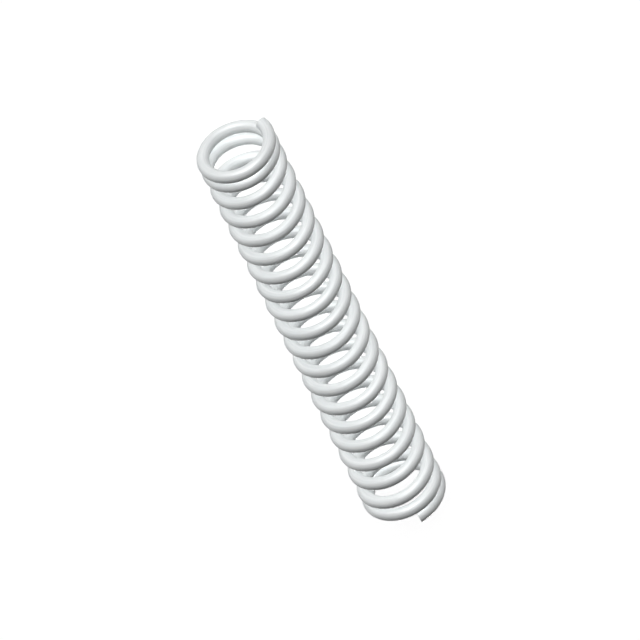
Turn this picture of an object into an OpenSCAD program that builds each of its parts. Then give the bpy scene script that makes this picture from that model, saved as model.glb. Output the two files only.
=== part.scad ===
// Compression spring: one round wire wound right-handed, with closed ends that are cut square
// and not ground. It lies on its side along X, midway along it, on the plane Z = 0.

/* [Spring] */
// Outside diameter of the coil
outside_d = 12.7; // [12:0.1:14]
// Length with no load, from wire tip to wire tip along the axis
free_length = 82.55; // [72:0.05:92]
// Diameter of the round wire
wire_d = 1.93; // [1.6:0.01:2.1]
// Turns of wire in all, both closed ends included
total_turns = 20.3; // [18:0.1:21]

/* [Ends] */
// Turns at each end that lie closed against each other
closed_turns = 1.1; // [1:0.05:1.6]
// Turns over which the closed pitch opens out to the working pitch
opening_turns = 0.9; // [0.5:0.1:1.2]
// Air left between two closed turns
closed_gap = 0.1; // [0.02:0.02:0.2]

/* [Facets] */
// Rings of points in one turn, a multiple of 4 so that the coil rests on a flat
rings_per_turn = 20; // [16:4:24]
// Flats around the wire, a multiple of 4 so that a flat faces outwards
wire_sides = 12; // [8:4:12]

/* [Hidden] */

spring_colour = [0.80, 0.82, 0.82];

// A wire of these flats has the same section area as the round wire.
section_area = PI * pow(wire_d / 2, 2);
corner_r = sqrt(2 * section_area / (wire_sides * sin(360 / wire_sides)));
flat_r = corner_r * cos(180 / wire_sides);

// The flats between two rings touch the outside diameter, so the rings stand out a little more.
ring_angle = 360 / rings_per_turn;
ring_spread = 1 / cos(ring_angle / 2);
coil_r = outside_d / 2 - flat_r;

// Whole rings from tip to tip, with a flat between two of them straight below the axis
ring_steps = round(total_turns * rings_per_turn);
turns = ring_steps / rings_per_turn;
first_angle = 180 + 1.5 * ring_angle;

// The wire climbs least where it is closed. There its flats lie closed_gap apart.
closed_slope = atan(wire_d / (2 * PI * coil_r));
closed_pitch = 2 * flat_r / cos(closed_slope) + closed_gap;
climb = free_length - 2 * flat_r / cos(closed_slope);
closing_turn = turns - closed_turns - opening_turns;
working_turns = closing_turn - closed_turns;
working_pitch = closed_pitch + (climb - closed_pitch * turns) / working_turns;

// Smooth step from 0 to 1, and what it adds up to from 0 to x
function smooth(x) = x <= 0 ? 0 : x >= 1 ? 1 : x * x * (3 - 2 * x);
function smooth_sum(x) = x <= 0 ? 0 : x >= 1 ? x - 1 / 2 : pow(x, 3) - pow(x, 4) / 2;

// How open the coil is at turn t, from 0 where it is closed to 1 at the working pitch
function openness(t) =
    smooth((t - closed_turns) / opening_turns) - smooth((t - closing_turn) / opening_turns);
function pitch(t) = closed_pitch + (working_pitch - closed_pitch) * openness(t);

// Distance along the axis from the first tip to turn t: the pitch, added up
function rise(t) =
    closed_pitch * t + (working_pitch - closed_pitch) * opening_turns
        * (smooth_sum((t - closed_turns) / opening_turns)
            - smooth_sum((t - closing_turn) / opening_turns));

// A ring of points round the wire at turn t, in the plane through the coil's axis. It is longer
// along the axis than across it, so that the sloping wire stays round.
function ring(t) =
    let (
        slope = atan(pitch(t) / (2 * PI * coil_r)),
        angle = first_angle - 360 * t,
        x = climb / 2 - rise(t)
    )
    [for (side = [0 : wire_sides - 1])
        let (
            around = 360 * (side + 0.5) / wire_sides,
            out = (coil_r + corner_r * cos(around)) * ring_spread
        )
        [
            x + corner_r * sin(around) / cos(slope),
            out * cos(angle),
            outside_d / 2 + out * sin(angle)
        ]
    ];

// The wire's skin: two triangles for each flat between two rings, and a flat cut at each tip
function corner(step, side) = step * wire_sides + side % wire_sides;
function skin() = [
    for (step = [0 : ring_steps - 1], side = [0 : wire_sides - 1])
        each [
            [corner(step, side), corner(step + 1, side), corner(step + 1, side + 1)],
            [corner(step, side), corner(step + 1, side + 1), corner(step, side + 1)]
        ],
    [for (side = [0 : wire_sides - 1]) corner(0, side)],
    [for (side = [wire_sides - 1 : -1 : 0]) corner(ring_steps, side)]
];

// The wound wire from the tip at +X to the tip at -X
module spring() {
    color(spring_colour)
        polyhedron(
            points = [for (step = [0 : ring_steps]) each ring(step / rings_per_turn)],
            faces = skin(),
            convexity = 10
        );
}

spring();
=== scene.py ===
"""A compression spring: one round wire wound right-handed into a slender coil with closed ends.

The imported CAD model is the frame. A Geometry Nodes tree winds the wire by the same rule as the
CAD source, but truly round and with softened cut edges, and the result stands for the CAD node.
The finish follows the wire: each point keeps its place in the wire as if it were pulled straight.
"""

import logging
import math
from dataclasses import dataclass, field
from enum import Enum

import bpy
from mathutils import Matrix, Vector


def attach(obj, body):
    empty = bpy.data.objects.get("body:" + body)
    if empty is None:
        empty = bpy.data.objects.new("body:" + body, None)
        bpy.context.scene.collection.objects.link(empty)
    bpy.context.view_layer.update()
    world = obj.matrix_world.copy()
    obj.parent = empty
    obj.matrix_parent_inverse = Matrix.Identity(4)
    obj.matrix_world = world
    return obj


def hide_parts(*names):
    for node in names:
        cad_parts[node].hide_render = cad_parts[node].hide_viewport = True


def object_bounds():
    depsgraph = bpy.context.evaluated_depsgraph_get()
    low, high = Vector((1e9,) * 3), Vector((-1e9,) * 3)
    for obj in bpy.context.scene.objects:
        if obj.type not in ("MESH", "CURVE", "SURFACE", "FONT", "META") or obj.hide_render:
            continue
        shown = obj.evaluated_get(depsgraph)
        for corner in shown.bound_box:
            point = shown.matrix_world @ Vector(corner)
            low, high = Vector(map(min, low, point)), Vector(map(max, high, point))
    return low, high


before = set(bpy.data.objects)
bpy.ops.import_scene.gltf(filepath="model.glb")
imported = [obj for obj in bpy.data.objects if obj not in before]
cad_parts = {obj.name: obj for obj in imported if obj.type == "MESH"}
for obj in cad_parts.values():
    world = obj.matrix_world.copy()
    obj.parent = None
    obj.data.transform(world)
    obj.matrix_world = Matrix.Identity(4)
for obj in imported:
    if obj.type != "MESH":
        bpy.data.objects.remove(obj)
CAD_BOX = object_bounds()

MM = 0.001
WIRE_D = 1.93 * MM

Colour = tuple[float, float, float]
Value = float | int | str | bpy.types.NodeSocket | Vector | tuple[float, ...]

log = logging.getLogger("spring")


class Hand(Enum):
    """The hand of a winding, as the sign of the turn about +X when one walks towards -X."""

    RIGHT = -1.0
    LEFT = 1.0


class Sight(Enum):
    """The rays that see the backdrop as a plain lit colour: Light Path's outputs."""

    CAMERA = "Is Camera Ray"
    GLOSSY = "Is Glossy Ray"
    TRANSMISSION = "Is Transmission Ray"


class NodeSketch:
    """Adds nodes to one tree and joins them, so that a formula reads as calls."""

    noise_low = 0.3
    noise_high = 0.7
    mix_colours_in = (6, 7)
    mix_colour_out = 2

    def __init__(self, tree: bpy.types.NodeTree) -> None:
        """Starts on a tree.

        Args:
            tree: the node tree that the nodes go into.
        """
        self.tree = tree

    def add(self, kind: str, **settings: object) -> bpy.types.Node:
        """Adds one node.

        Args:
            kind: the node's type name in Blender.
            settings: properties of the node and the values that they get.

        Returns:
            The new node.
        """
        node = self.tree.nodes.new(kind)
        for name, value in settings.items():
            setattr(node, name, value)
        return node

    def feed(self, socket: bpy.types.NodeSocket, value: Value) -> None:
        """Links an output to a node's input, or sets a plain value on it.

        Args:
            socket: the input socket.
            value: an output socket, or the value itself.
        """
        if isinstance(value, bpy.types.NodeSocket):
            self.tree.links.new(value, socket)
        else:
            socket.default_value = value

    def use(self, kind: str, inputs: dict[str, Value], **settings: object) -> bpy.types.Node:
        """Adds one node and feeds its inputs by their names.

        Args:
            kind: the node's type name in Blender.
            inputs: what goes into the inputs, by name.
            settings: properties of the node and the values that they get.

        Returns:
            The new node.
        """
        node = self.add(kind, **settings)
        for name, value in inputs.items():
            self.feed(node.inputs[name], value)
        return node

    def math(self, operation: str, *values: Value) -> bpy.types.NodeSocket:
        """Adds a Math node.

        Args:
            operation: the node's operation.
            values: its inputs, in their order.

        Returns:
            The result's socket.
        """
        node = self.add("ShaderNodeMath", operation=operation)
        for socket, value in zip(node.inputs, values):
            self.feed(socket, value)
        return node.outputs["Value"]

    def attribute(self, name: str) -> bpy.types.NodeSocket:
        """Reads a vector that is stored on the mesh."""
        node = self.add("ShaderNodeAttribute", attribute_name=name, attribute_type="GEOMETRY")
        return node.outputs["Vector"]

    def clamp(self, value: Value) -> bpy.types.NodeSocket:
        """Holds a value between 0 and 1."""
        return self.use("ShaderNodeClamp", {"Value": value}).outputs["Result"]

    def vector(self, x: Value, y: Value, z: Value) -> bpy.types.NodeSocket:
        """Joins three values into a vector."""
        return self.use("ShaderNodeCombineXYZ", {"X": x, "Y": y, "Z": z}).outputs["Vector"]

    def vector_math(
        self, operation: str, first: Value, second: Value, out: str = "Vector"
    ) -> bpy.types.NodeSocket:
        """Adds a Vector Math node.

        Args:
            operation: the node's operation.
            first: its first vector.
            second: its second vector.
            out: the name of the output that is wanted.

        Returns:
            The result's socket.
        """
        node = self.add("ShaderNodeVectorMath", operation=operation)
        self.feed(node.inputs[0], first)
        self.feed(node.inputs[1], second)
        return node.outputs[out]

    def noise(self, place: Value, scale: Vector, detail: float) -> bpy.types.NodeSocket:
        """Adds a noise pattern, stretched along the axes of its coordinates.

        Args:
            place: the coordinates.
            scale: how many features there are in one unit, along each axis.
            detail: how many finer layers the pattern has.

        Returns:
            The pattern's value, from 0 to 1.
        """
        spread = self.use("ShaderNodeMapping", {"Vector": place, "Scale": scale})
        return self.use(
            "ShaderNodeTexNoise",
            {"Vector": spread.outputs["Vector"], "Scale": 1.0, "Detail": detail},
        ).outputs["Fac"]

    def between(self, value: Value, low: float, high: float) -> bpy.types.NodeSocket:
        """Spreads the middle of a noise pattern over a range.

        Args:
            value: the pattern, mostly between noise_low and noise_high.
            low: the result where the pattern is low.
            high: the result where the pattern is high.

        Returns:
            The result's socket.
        """
        ends = {"From Min": self.noise_low, "From Max": self.noise_high}
        node = self.use(
            "ShaderNodeMapRange", {"Value": value, **ends, "To Min": low, "To Max": high}
        )
        return node.outputs["Result"]

    def bump(self, height: Value) -> bpy.types.NodeSocket:
        """Turns a height in metres into a surface direction."""
        node = self.use("ShaderNodeBump", {"Height": height, "Strength": 1.0, "Distance": 1.0})
        return node.outputs["Normal"]

    def blend(self, share: Value, first: Value, second: Value) -> bpy.types.NodeSocket:
        """Mixes two colours.

        Args:
            share: how much of the second colour there is.
            first: the first colour.
            second: the second colour.

        Returns:
            The mixed colour's socket.
        """
        node = self.add("ShaderNodeMix", data_type="RGBA")
        self.feed(node.inputs["Factor"], share)
        for index, value in zip(self.mix_colours_in, (first, second)):
            self.feed(node.inputs[index], value)
        return node.outputs[self.mix_colour_out]


def opaque(colour: Colour) -> tuple[float, ...]:
    """Gives a colour full opacity."""
    return (*colour, 1.0)


def new_material(name: str) -> tuple[bpy.types.Material, NodeSketch]:
    """Makes an empty node material.

    Args:
        name: the material's name.

    Returns:
        The material, and a sketch of its node tree.
    """
    material = bpy.data.materials.new(name)
    material.use_nodes = True
    material.node_tree.nodes.clear()
    return material, NodeSketch(material.node_tree)


@dataclass(frozen=True)
class WindingRule:
    """The sizes of the wound wire, in metres, turns and radians."""

    outside_d: float
    free_length: float
    wire_d: float = WIRE_D
    turns: float = 20.3
    closed_turns: float = 1.1
    opening_turns: float = 0.9
    closed_gap: float = 0.1 * MM
    first_angle: float = math.radians(209)
    hand: Hand = Hand.RIGHT

    @property
    def coil_r(self) -> float:
        """Radius of the wire's centre line about the coil's axis."""
        return (self.outside_d - self.wire_d) / 2

    @property
    def closed_pitch(self) -> float:
        """Pitch at which two closed turns lie the closed gap apart."""
        slope = math.atan(self.wire_d / (math.tau * self.coil_r))
        return self.wire_d / math.cos(slope) + self.closed_gap

    @property
    def climb(self) -> float:
        """How far the centre line rises from tip to tip."""
        return self.free_length - self.wire_d

    @property
    def working_pitch(self) -> float:
        """Pitch of the open turns, from what the climb leaves them."""
        open_turns = self.turns - 2 * self.closed_turns - self.opening_turns
        return self.closed_pitch + (self.climb - self.closed_pitch * self.turns) / open_turns


class WindingTree:
    """The Geometry Nodes tree that winds the wire and says where each point lies along it."""

    name = "wound_wire"
    place_name = "wire_place"
    quad_corners = 4
    whole_numbers_in = (2, 3)
    sizes = {
        "Coil Radius": "NodeSocketFloat",
        "Wire Radius": "NodeSocketFloat",
        "Axis Height": "NodeSocketFloat",
        "Climb": "NodeSocketFloat",
        "Closed Pitch": "NodeSocketFloat",
        "Working Pitch": "NodeSocketFloat",
        "Turns": "NodeSocketFloat",
        "Closed Turns": "NodeSocketFloat",
        "Opening Turns": "NodeSocketFloat",
        "First Angle": "NodeSocketFloat",
        "Hand": "NodeSocketFloat",
        "Edge Radius": "NodeSocketFloat",
        "Body Rings": "NodeSocketInt",
        "Edge Rings": "NodeSocketInt",
        "Wire Sides": "NodeSocketInt",
        "Wire Finish": "NodeSocketMaterial",
        "Cut Finish": "NodeSocketMaterial",
    }

    def __init__(self) -> None:
        """Makes the tree with its named inputs, its nodes and its output."""
        self.tree = bpy.data.node_groups.new(self.name, "GeometryNodeTree")
        self.sketch = NodeSketch(self.tree)
        self.sockets = {
            size: self.tree.interface.new_socket(name=size, in_out="INPUT", socket_type=kind)
            for size, kind in self.sizes.items()
        }
        self.tree.interface.new_socket(
            name="Geometry", in_out="OUTPUT", socket_type="NodeSocketGeometry"
        )
        self.given = self.sketch.add("NodeGroupInput").outputs
        self.sketch.use("NodeGroupOutput", {"Geometry": self.finished()})

    def part_of_edge(self) -> tuple[bpy.types.NodeSocket, bpy.types.NodeSocket]:
        """Finds how far each ring is round the softened edge of the two cuts.

        Returns:
            The angle at the near cut and at the far one, from 0 on the cut face to a quarter
            turn where the edge is past.
        """
        sketch, given = self.sketch, self.given
        index = sketch.add("GeometryNodeInputIndex").outputs["Index"]
        both_edges = sketch.math("MULTIPLY", given["Edge Rings"], 2.0)
        last = sketch.math("ADD", given["Body Rings"], both_edges)
        angles = []
        for steps in (index, sketch.math("SUBTRACT", last, index)):
            share = sketch.clamp(sketch.math("DIVIDE", steps, given["Edge Rings"]))
            angles.append(sketch.math("MULTIPLY", share, math.tau / 4))
        return angles[0], angles[1]

    def turn(self) -> bpy.types.NodeSocket:
        """Finds where along the winding each ring lies.

        Returns:
            The turn of the winding, from 0 at the near tip.
        """
        sketch, given = self.sketch, self.given
        near, far = self.part_of_edge()
        turn_length = sketch.math("MULTIPLY", given["Coil Radius"], math.tau)
        edge_turns = sketch.math("DIVIDE", given["Edge Radius"], turn_length)
        index = sketch.add("GeometryNodeInputIndex").outputs["Index"]
        past_edge = sketch.math("SUBTRACT", index, given["Edge Rings"])
        share = sketch.clamp(sketch.math("DIVIDE", past_edge, given["Body Rings"]))
        both_edges = sketch.math("MULTIPLY", edge_turns, 2.0)
        body = sketch.math("MULTIPLY", share, sketch.math("SUBTRACT", given["Turns"], both_edges))
        into_edges = sketch.math(
            "SUBTRACT", sketch.math("COSINE", far), sketch.math("COSINE", near)
        )
        edges = sketch.math("MULTIPLY_ADD", into_edges, edge_turns, edge_turns)
        return sketch.math("ADD", body, edges)

    def width(self) -> bpy.types.NodeSocket:
        """Finds how wide the wire is at each ring, narrower at the softened edges.

        Returns:
            The share of the wire's radius.
        """
        sketch, given = self.sketch, self.given
        near, far = self.part_of_edge()
        edge = sketch.math("DIVIDE", given["Edge Radius"], given["Wire Radius"])
        both = sketch.math("ADD", sketch.math("SINE", near), sketch.math("SINE", far))
        missing = sketch.math("MULTIPLY", edge, sketch.math("SUBTRACT", 2.0, both))
        return sketch.math("SUBTRACT", 1.0, missing)

    def smooth_sum(self, turn: Value, start: Value) -> bpy.types.NodeSocket:
        """Adds up a smooth step from 0 to 1 over the opening turns.

        Args:
            turn: the turn of the winding.
            start: the turn at which the step starts.

        Returns:
            What the step adds up to from its start, in opening turns.
        """
        sketch = self.sketch
        since = sketch.math("SUBTRACT", turn, start)
        along = sketch.math("DIVIDE", since, self.given["Opening Turns"])
        inside = sketch.clamp(along)
        cube = sketch.math("POWER", inside, 3.0)
        step = sketch.math("MULTIPLY", cube, sketch.math("MULTIPLY_ADD", inside, -0.5, 1.0))
        past = sketch.math("MAXIMUM", sketch.math("SUBTRACT", along, 1.0), 0.0)
        return sketch.math("ADD", step, past)

    def rise(self, turn: Value) -> bpy.types.NodeSocket:
        """Finds how far the winding has gone along its axis: its pitch, added up.

        Args:
            turn: the turn of the winding.

        Returns:
            The distance from the near tip.
        """
        sketch, given = self.sketch, self.given
        ends = sketch.math("ADD", given["Closed Turns"], given["Opening Turns"])
        closing_turn = sketch.math("SUBTRACT", given["Turns"], ends)
        opened = self.smooth_sum(turn, given["Closed Turns"])
        open_part = sketch.math("SUBTRACT", opened, self.smooth_sum(turn, closing_turn))
        open_turns = sketch.math("MULTIPLY", open_part, given["Opening Turns"])
        extra = sketch.math("SUBTRACT", given["Working Pitch"], given["Closed Pitch"])
        closed = sketch.math("MULTIPLY", turn, given["Closed Pitch"])
        return sketch.math("MULTIPLY_ADD", open_turns, extra, closed)

    def rail(self) -> tuple[bpy.types.NodeSocket, bpy.types.NodeSocket]:
        """Finds each ring's centre.

        Returns:
            The centre, and the direction outwards from the coil's axis.
        """
        sketch, given = self.sketch, self.given
        turn = self.turn()
        signed = sketch.math("MULTIPLY", turn, given["Hand"])
        angle = sketch.math("MULTIPLY_ADD", signed, math.tau, given["First Angle"])
        out = sketch.vector(0.0, sketch.math("COSINE", angle), sketch.math("SINE", angle))
        half_climb = sketch.math("MULTIPLY", given["Climb"], 0.5)
        x = sketch.math("SUBTRACT", half_climb, self.rise(turn))
        on_axis = sketch.vector(x, 0.0, given["Axis Height"])
        radius = given["Coil Radius"]
        off_axis = sketch.vector_math("MULTIPLY", out, sketch.vector(radius, radius, radius))
        return sketch.vector_math("ADD", on_axis, off_axis), out

    def finished(self) -> bpy.types.NodeSocket:
        """Sweeps the wire along its rail, marks its places and gives it its finishes.

        Returns:
            The finished mesh.
        """
        sketch, given = self.sketch, self.given
        centre, out = self.rail()
        both_edges = sketch.math("MULTIPLY", given["Edge Rings"], 2.0)
        steps = sketch.math("ADD", given["Body Rings"], both_edges)
        line = sketch.add("GeometryNodeCurvePrimitiveLine")
        points = sketch.use(
            "GeometryNodeResampleCurve",
            {"Curve": line.outputs["Curve"], "Count": sketch.math("ADD", steps, 1.0)},
        )
        wound = sketch.use(
            "GeometryNodeSetPosition", {"Geometry": points.outputs["Curve"], "Position": centre}
        )
        facing = sketch.use(
            "GeometryNodeSetCurveNormal",
            {"Curve": wound.outputs["Geometry"], "Normal": out},
            mode="FREE",
        )
        kept = sketch.add("GeometryNodeCaptureAttribute")
        rail_values = {
            "Centre": sketch.add("GeometryNodeInputPosition").outputs["Position"],
            "Out": out,
            "Along": sketch.add("GeometryNodeInputTangent").outputs["Tangent"],
            "Length": sketch.add("GeometryNodeSplineParameter").outputs["Length"],
        }
        for name, value in rail_values.items():
            kept.capture_items.new("FLOAT" if name == "Length" else "VECTOR", name)
            sketch.feed(kept.inputs[name], value)
        sketch.feed(kept.inputs["Geometry"], facing.outputs["Curve"])
        section = sketch.use(
            "GeometryNodeCurvePrimitiveCircle",
            {"Resolution": given["Wire Sides"], "Radius": given["Wire Radius"]},
        )
        swept = sketch.use(
            "GeometryNodeCurveToMesh",
            {
                "Curve": kept.outputs["Geometry"],
                "Profile Curve": section.outputs["Curve"],
                "Scale": self.width(),
                "Fill Caps": True,
            },
        )
        marked = self.marked(swept.outputs["Mesh"], kept.outputs)
        return self.dressed(marked)

    def marked(
        self, mesh: bpy.types.NodeSocket, kept: bpy.types.NodeOutputs
    ) -> bpy.types.NodeSocket:
        """Stores on each point where it would lie if the wire were pulled straight.

        Args:
            mesh: the swept mesh.
            kept: the values captured on the rail.

        Returns:
            The mesh with the places stored.
        """
        sketch = self.sketch
        here = sketch.add("GeometryNodeInputPosition").outputs["Position"]
        offset = sketch.vector_math("SUBTRACT", here, kept["Centre"])
        aside = sketch.vector_math("CROSS_PRODUCT", kept["Along"], kept["Out"])
        place = sketch.vector(
            sketch.vector_math("DOT_PRODUCT", offset, kept["Out"], "Value"),
            sketch.vector_math("DOT_PRODUCT", offset, aside, "Value"),
            kept["Length"],
        )
        return sketch.use(
            "GeometryNodeStoreNamedAttribute",
            {"Geometry": mesh, "Name": self.place_name, "Value": place},
            data_type="FLOAT_VECTOR",
            domain="POINT",
        ).outputs["Geometry"]

    def dressed(self, mesh: bpy.types.NodeSocket) -> bpy.types.NodeSocket:
        """Shades the wire smooth and the two cuts flat, and gives both their materials.

        Args:
            mesh: the mesh with its places stored.

        Returns:
            The dressed mesh.
        """
        sketch, given = self.sketch, self.given
        corners = sketch.add("GeometryNodeInputMeshFaceNeighbors").outputs["Vertex Count"]
        is_cut = sketch.add("FunctionNodeCompare", data_type="INT", operation="GREATER_THAN")
        for index, value in zip(self.whole_numbers_in, (corners, self.quad_corners)):
            sketch.feed(is_cut.inputs[index], value)
        cut = is_cut.outputs["Result"]
        is_wire = sketch.use("FunctionNodeBooleanMath", {"Boolean": cut}, operation="NOT")
        shaded = sketch.use(
            "GeometryNodeSetShadeSmooth",
            {"Geometry": mesh, "Shade Smooth": is_wire.outputs["Boolean"]},
        )
        real = sketch.use("GeometryNodeRealizeInstances", {"Geometry": shaded.outputs["Geometry"]})
        wire = sketch.use(
            "GeometryNodeSetMaterial",
            {"Geometry": real.outputs["Geometry"], "Material": given["Wire Finish"]},
        )
        return sketch.use(
            "GeometryNodeSetMaterial",
            {
                "Geometry": wire.outputs["Geometry"],
                "Selection": cut,
                "Material": given["Cut Finish"],
            },
        ).outputs["Geometry"]


@dataclass(frozen=True)
class SatinPlating:
    """Pale satin plating on drawn wire: streaks along the wire, soft clouds and a fine grain."""

    name: str = "satin_plating"
    tone: Colour = (0.83, 0.85, 0.85)
    dull_tone: Colour = (0.67, 0.695, 0.70)
    metallic: float = 0.12
    specular: float = 0.2
    bright_roughness: float = 0.36
    dull_roughness: float = 0.5
    streak_width: float = 0.2 * MM
    streak_length: float = 8 * MM
    cloud_width: float = 1.2 * MM
    cloud_length: float = 7 * MM
    grain_size: float = 0.06 * MM
    streak_depth: float = 0.004 * MM
    grain_depth: float = 0.0025 * MM
    streak_layers: float = 3.0
    cloud_layers: float = 2.0
    grain_layers: float = 2.0
    streak_share: float = 0.6
    cloud_share: float = 0.4
    track_start: float = 0.955 * WIRE_D / 2
    track_middle: float = 0.99 * WIRE_D / 2
    track_gloss: float = 0.09
    track_least: float = 0.5

    def make(self) -> bpy.types.Material:
        """Makes the plating's material.

        Returns:
            The material.
        """
        material, sketch = new_material(self.name)
        place = sketch.attribute(WindingTree.place_name)
        streaks = self.features(self.streak_width, self.streak_length)
        streak = sketch.noise(place, streaks, self.streak_layers)
        clouds = self.features(self.cloud_width, self.cloud_length)
        cloud = sketch.noise(place, clouds, self.cloud_layers)
        grains = self.features(self.grain_size, self.grain_size)
        grain = sketch.noise(place, grains, self.grain_layers)
        dull = sketch.math(
            "ADD",
            sketch.between(cloud, 0.0, self.cloud_share),
            sketch.between(streak, 0.0, self.streak_share),
        )
        colour = sketch.blend(dull, opaque(self.tone), opaque(self.dull_tone))
        roughness = sketch.use(
            "ShaderNodeMapRange",
            {"Value": dull, "To Min": self.bright_roughness, "To Max": self.dull_roughness},
        ).outputs["Result"]
        polished = sketch.math("MULTIPLY", self.track(sketch, place, streak), -self.track_gloss)
        streak_height = sketch.math("MULTIPLY", streak, self.streak_depth)
        height = sketch.math("MULTIPLY_ADD", grain, self.grain_depth, streak_height)
        surface = sketch.use(
            "ShaderNodeBsdfPrincipled",
            {
                "Base Color": colour,
                "Metallic": self.metallic,
                "Specular IOR Level": self.specular,
                "Roughness": sketch.math("ADD", roughness, polished),
                "Normal": sketch.bump(height),
            },
        )
        sketch.use("ShaderNodeOutputMaterial", {"Surface": surface.outputs["BSDF"]})
        return material

    def features(self, width: float, length: float) -> Vector:
        """Gives the pattern scale for features of a width across and a length along the wire."""
        return Vector((1 / width, 1 / width, 1 / length))

    def track(self, sketch: NodeSketch, place: Value, streak: Value) -> bpy.types.NodeSocket:
        """Finds the track on the outside of the coil that the coiling tools rubbed smooth.

        Args:
            sketch: the material's sketch.
            place: where the point lies in the straight wire.
            streak: the streak pattern, which breaks the track's edges up.

        Returns:
            How much of the track there is, from 0 to 1.
        """
        out = sketch.use("ShaderNodeSeparateXYZ", {"Vector": place}).outputs["X"]
        band = sketch.use(
            "ShaderNodeMapRange",
            {"Value": out, "From Min": self.track_start, "From Max": self.track_middle},
            interpolation_type="SMOOTHSTEP",
        ).outputs["Result"]
        return sketch.math("MULTIPLY", band, sketch.between(streak, self.track_least, 1.0))


@dataclass(frozen=True)
class ShearedCut:
    """The plated face of a sheared wire: a rubbed part where the blade went in, then a torn one."""

    name: str = "sheared_cut"
    rubbed_tone: Colour = (0.80, 0.82, 0.82)
    torn_tone: Colour = (0.66, 0.68, 0.685)
    metallic: float = 0.12
    specular: float = 0.2
    rubbed_roughness: float = 0.4
    torn_roughness: float = 0.6
    tear_line: float = 0.2 * MM
    tear_spread: float = 0.12 * MM
    scratch_width: float = 0.05 * MM
    scratch_length: float = 0.9 * MM
    scratch_layers: float = 2.0
    pit_size: float = 0.13 * MM
    pit_layers: float = 4.0
    scratch_depth: float = 0.004 * MM
    pit_depth: float = 0.02 * MM

    def make(self) -> bpy.types.Material:
        """Makes the cut's material.

        Returns:
            The material.
        """
        material, sketch = new_material(self.name)
        place = sketch.attribute(WindingTree.place_name)
        scratch_scale = Vector(
            (1 / self.scratch_length, 1 / self.scratch_width, 1 / self.scratch_width)
        )
        scratches = sketch.noise(place, scratch_scale, self.scratch_layers)
        pits = sketch.noise(place, Vector.Fill(3, 1 / self.pit_size), self.pit_layers)
        ragged = sketch.math("MULTIPLY_ADD", pits, self.tear_spread, -self.tear_line)
        across = sketch.use("ShaderNodeSeparateXYZ", {"Vector": place}).outputs["X"]
        torn = sketch.use(
            "ShaderNodeMapRange",
            {
                "Value": sketch.math("ADD", across, ragged),
                "From Min": -self.tear_spread,
                "From Max": self.tear_spread,
                "To Min": 1.0,
                "To Max": 0.0,
            },
            interpolation_type="SMOOTHSTEP",
        ).outputs["Result"]
        colour = sketch.blend(torn, opaque(self.rubbed_tone), opaque(self.torn_tone))
        roughness = sketch.use(
            "ShaderNodeMapRange",
            {"Value": torn, "To Min": self.rubbed_roughness, "To Max": self.torn_roughness},
        ).outputs["Result"]
        pitted = sketch.math("MULTIPLY", sketch.math("MULTIPLY", pits, torn), self.pit_depth)
        height = sketch.math("MULTIPLY_ADD", scratches, self.scratch_depth, pitted)
        surface = sketch.use(
            "ShaderNodeBsdfPrincipled",
            {
                "Base Color": colour,
                "Metallic": self.metallic,
                "Specular IOR Level": self.specular,
                "Roughness": roughness,
                "Normal": sketch.bump(height),
            },
        )
        sketch.use("ShaderNodeOutputMaterial", {"Surface": surface.outputs["BSDF"]})
        return material


@dataclass
class WoundWire:
    """The spring itself: one wire from tip to tip."""

    rule: WindingRule
    plating: SatinPlating = field(default_factory=SatinPlating)
    cut: ShearedCut = field(default_factory=ShearedCut)
    edge_radius: float = 0.07 * MM
    rings_per_turn: int = 72
    edge_rings: int = 5
    wire_sides: int = 32

    def values(self) -> dict[str, Value]:
        """Gives the tree's inputs their values, by name."""
        rule = self.rule
        return {
            "Coil Radius": rule.coil_r,
            "Wire Radius": rule.wire_d / 2,
            "Axis Height": rule.outside_d / 2,
            "Climb": rule.climb,
            "Closed Pitch": rule.closed_pitch,
            "Working Pitch": rule.working_pitch,
            "Turns": rule.turns,
            "Closed Turns": rule.closed_turns,
            "Opening Turns": rule.opening_turns,
            "First Angle": rule.first_angle,
            "Hand": rule.hand.value,
            "Edge Radius": self.edge_radius,
            "Body Rings": round(rule.turns * self.rings_per_turn),
            "Edge Rings": self.edge_rings,
            "Wire Sides": self.wire_sides,
            "Wire Finish": self.plating.make(),
            "Cut Finish": self.cut.make(),
        }

    def build(self) -> bpy.types.Object:
        """Winds the wire and makes it a plain mesh at the origin.

        Returns:
            The wound wire's object.
        """
        winding = WindingTree()
        piece = bpy.data.objects.new("wound_wire", bpy.data.meshes.new("wound_wire_start"))
        bpy.context.scene.collection.objects.link(piece)
        modifier = piece.modifiers.new("winding", "NODES")
        modifier.node_group = winding.tree
        for name, value in self.values().items():
            modifier[winding.sockets[name].identifier] = value
        graph = bpy.context.evaluated_depsgraph_get()
        mesh = bpy.data.meshes.new_from_object(piece.evaluated_get(graph), depsgraph=graph)
        piece.modifiers.clear()
        piece.data = mesh
        mesh.name = "wound_wire"
        return piece

    def place(self) -> bpy.types.Object:
        """Builds the wire and lets it stand for the CAD spring.

        Returns:
            The wound wire's object.
        """
        piece = self.build()
        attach(piece, "root")
        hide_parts("spring")
        return piece


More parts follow.
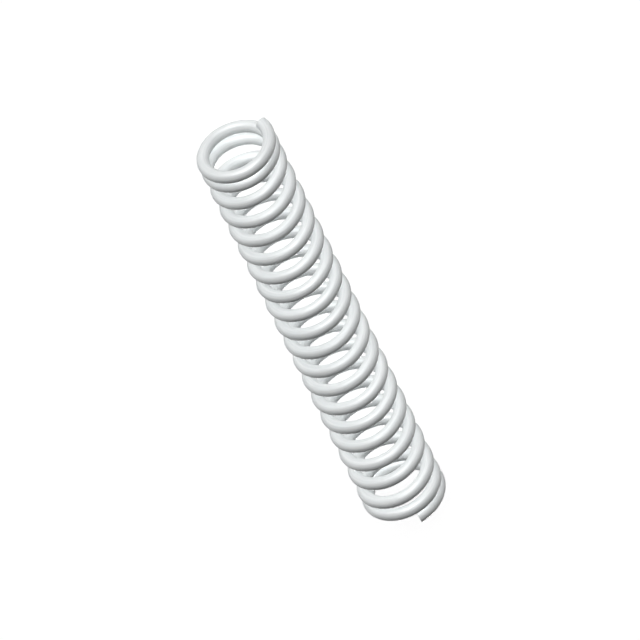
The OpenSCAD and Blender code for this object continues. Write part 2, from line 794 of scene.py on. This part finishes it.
@dataclass(frozen=True)
class PhotoView:
    """Where the photo is taken from: a parallel view down on the coil, rolled with its image."""

    image_width: int = 640
    pixels_per_metre: float = 6739.7
    axis_fall: float = math.radians(63.8801)
    axis_to_sight: float = math.radians(45.6183)
    turned_about_axis: float = math.radians(8.132)
    aim_height: float = 6.35 * MM
    off_centre: tuple[float, float] = (-0.17, 0.23)
    distance: float = 0.3
    nearest_seen: float = 0.01
    farthest_seen: float = 4.0

    def back(self) -> Vector:
        """Direction from the object to the camera."""
        side = math.sin(self.axis_to_sight)
        return Vector(
            (
                math.cos(self.axis_to_sight),
                -side * math.sin(self.turned_about_axis),
                side * math.cos(self.turned_about_axis),
            )
        )

    def right(self) -> Vector:
        """Finds the direction of the image's right side, square to the sight.

        Returns:
            The direction.
        """
        across = Vector(
            (0.0, -math.cos(self.turned_about_axis), -math.sin(self.turned_about_axis))
        )
        along = self.back().cross(across)
        return math.sin(self.axis_fall) * across - math.cos(self.axis_fall) * along

    def up(self) -> Vector:
        """Direction of the image's top."""
        return self.back().cross(self.right())

    def place(self) -> bpy.types.Object:
        """Puts the camera there.

        Returns:
            The camera.
        """
        lens = bpy.data.cameras.new("photo_view")
        lens.type = "ORTHO"
        lens.ortho_scale = self.image_width / self.pixels_per_metre
        lens.clip_start = self.nearest_seen
        lens.clip_end = self.farthest_seen
        right, up, back = self.right(), self.up(), self.back()
        off_right, off_up = (pixels / self.pixels_per_metre for pixels in self.off_centre)
        place = Vector((0.0, 0.0, self.aim_height)) + right * off_right + up * off_up
        place += back * self.distance
        camera = bpy.data.objects.new("photo_view", lens)
        turned = Matrix((right, up, back)).transposed().to_4x4()
        camera.matrix_world = Matrix.Translation(place) @ turned
        bpy.context.scene.collection.objects.link(camera)
        bpy.context.scene.camera = camera
        return camera


@dataclass(frozen=True)
class SoftLamp:
    """A soft lamp far away, set by its direction from the spring: round from +X, and up.

    A lamp that casts no shadow also has its importance sampling off, because with it a wide lamp
    is still hidden by what stands in front of it.
    """

    name: str
    level: float
    azimuth: float
    elevation: float
    spread: float
    casts_shadow: bool = True

    def hang(self) -> bpy.types.Object:
        """Hangs the lamp.

        Returns:
            The lamp.
        """
        light = bpy.data.lights.new(self.name, "SUN")
        light.energy = self.level
        light.angle = self.spread
        light.use_shadow = self.casts_shadow
        light.cycles.use_multiple_importance_sampling = self.casts_shadow
        lamp = bpy.data.objects.new(self.name, light)
        level_part = math.cos(self.elevation)
        towards = Vector(
            (
                level_part * math.cos(self.azimuth),
                level_part * math.sin(self.azimuth),
                math.sin(self.elevation),
            )
        )
        lamp.rotation_euler = towards.to_track_quat("Z", "Y").to_euler()
        bpy.context.scene.collection.objects.link(lamp)
        return lamp


@dataclass
class Studio:
    """A round pale floor in a white bowl, in an evenly lit room with soft lamps."""

    lamps: tuple[SoftLamp, ...] = (
        SoftLamp(
            "front_lamp",
            level=0.8,
            azimuth=math.radians(-5),
            elevation=math.radians(36),
            spread=math.radians(35),
        ),
        SoftLamp(
            "front_fill",
            level=2.2,
            azimuth=math.radians(4),
            elevation=math.radians(9),
            spread=math.radians(40),
            casts_shadow=False,
        ),
        SoftLamp(
            "back_fill",
            level=1.0,
            azimuth=math.radians(178),
            elevation=math.radians(-38),
            spread=math.radians(20),
            casts_shadow=False,
        ),
    )
    room_level: float = 0.04
    bowl_radius: float = 1.6
    bowl_top: float = math.radians(4)
    bowl_steps: int = 24
    sides: int = 96
    floor_drop: float = 0.02 * MM
    bounce_tone: Colour = (0.7, 0.7, 0.7)
    shadow_tone: Colour = (0.6, 0.6, 0.6)
    floor_glow: float = 0.84

    def seen(self, sketch: NodeSketch) -> bpy.types.NodeSocket:
        """Finds the rays that see the backdrop as plain white.

        Args:
            sketch: the sketch of the backdrop's tree.

        Returns:
            1 for those rays and 0 for the others.
        """
        rays = sketch.add("ShaderNodeLightPath").outputs
        seen: Value = 0.0
        for sight in Sight:
            seen = sketch.math("MAXIMUM", seen, rays[sight.value])
        return seen

    def floor_material(self) -> bpy.types.Material:
        """Makes the floor's material, which keeps a faint shadow.

        Returns:
            The material.
        """
        material, sketch = new_material("pale_floor")
        bounce = sketch.use("ShaderNodeBsdfDiffuse", {"Color": opaque(self.bounce_tone)})
        shaded = sketch.use("ShaderNodeBsdfDiffuse", {"Color": opaque(self.shadow_tone)})
        glow = sketch.use("ShaderNodeEmission", {"Strength": self.floor_glow})
        shown = sketch.add("ShaderNodeAddShader")
        sketch.feed(shown.inputs[0], shaded.outputs["BSDF"])
        sketch.feed(shown.inputs[1], glow.outputs["Emission"])
        mixed = sketch.add("ShaderNodeMixShader")
        sketch.feed(mixed.inputs[0], self.seen(sketch))
        sketch.feed(mixed.inputs[1], bounce.outputs["BSDF"])
        sketch.feed(mixed.inputs[2], shown.outputs["Shader"])
        sketch.use("ShaderNodeOutputMaterial", {"Surface": mixed.outputs["Shader"]})
        return material

    def bowl_material(self) -> bpy.types.Material:
        """Makes the bowl's material: plain white, which lights nothing.

        Returns:
            The material.
        """
        material, sketch = new_material("white_backdrop")
        white = sketch.use("ShaderNodeEmission", {"Strength": self.seen(sketch)})
        sketch.use("ShaderNodeOutputMaterial", {"Surface": white.outputs["Emission"]})
        return material

    def stage_piece(
        self, name: str, rings: list[tuple[float, float]], material: bpy.types.Material
    ) -> bpy.types.Object:
        """Makes a round piece of the stage from its middle out.

        Args:
            name: the piece's name.
            rings: the radius and height of each ring of corners.
            material: the piece's material.

        Returns:
            The piece.
        """
        angles = [math.tau * side / self.sides for side in range(self.sides)]
        corners = [
            (radius * math.cos(angle), radius * math.sin(angle), height)
            for radius, height in rings
            for angle in angles
        ]
        faces = [tuple(range(self.sides))]
        for first in range(0, (len(rings) - 1) * self.sides, self.sides):
            for side in range(self.sides):
                here = first + side
                beside = first + (side + 1) % self.sides
                faces.append((beside, here, here + self.sides, beside + self.sides))
        mesh = bpy.data.meshes.new(name)
        mesh.from_pydata(corners, [], faces)
        mesh.materials.append(material)
        piece = bpy.data.objects.new(name, mesh)
        bpy.context.scene.collection.objects.link(piece)
        return piece

    def light_room(self) -> bpy.types.World:
        """Lights the room evenly.

        Returns:
            The world.
        """
        world = bpy.data.worlds.new("even_room")
        world.use_nodes = True
        world.node_tree.nodes.clear()
        sketch = NodeSketch(world.node_tree)
        room = sketch.use("ShaderNodeBackground", {"Strength": self.room_level})
        sketch.feed(room.inputs["Color"], opaque((1.0, 1.0, 1.0)))
        sketch.use("ShaderNodeOutputWorld", {"Surface": room.outputs["Background"]})
        bpy.context.scene.world = world
        return world

    def place(self) -> None:
        """Lays the floor just under the spring, inside its bowl, and lights both."""
        rim = [(self.bowl_radius, -self.floor_drop)]
        self.stage_piece("floor", rim, self.floor_material())
        bowl = []
        lowest = -math.tau / 4
        for step in range(1, self.bowl_steps + 1):
            bend = lowest + (self.bowl_top - lowest) * step / self.bowl_steps
            bowl.append((self.bowl_radius * math.cos(bend), self.bowl_radius * math.sin(bend)))
        self.stage_piece("backdrop", bowl, self.bowl_material())
        self.light_room()
        for lamp in self.lamps:
            lamp.hang()


def main() -> None:
    """Builds the studio and the spring."""
    logging.basicConfig(level=logging.INFO, format="%(name)s: %(message)s")
    bpy.context.scene.view_settings.view_transform = "Standard"
    PhotoView().place()
    studio = Studio()
    studio.place()
    log.info("the camera, the floor and %d lamps are in place", len(studio.lamps))

    low, high = CAD_BOX
    size = high - low
    wire = WoundWire(WindingRule(outside_d=size.z, free_length=size.x))
    piece = wire.place()
    log.info("%s has %d faces", piece.name, len(piece.data.polygons))


if __name__ == "__main__":
    main()
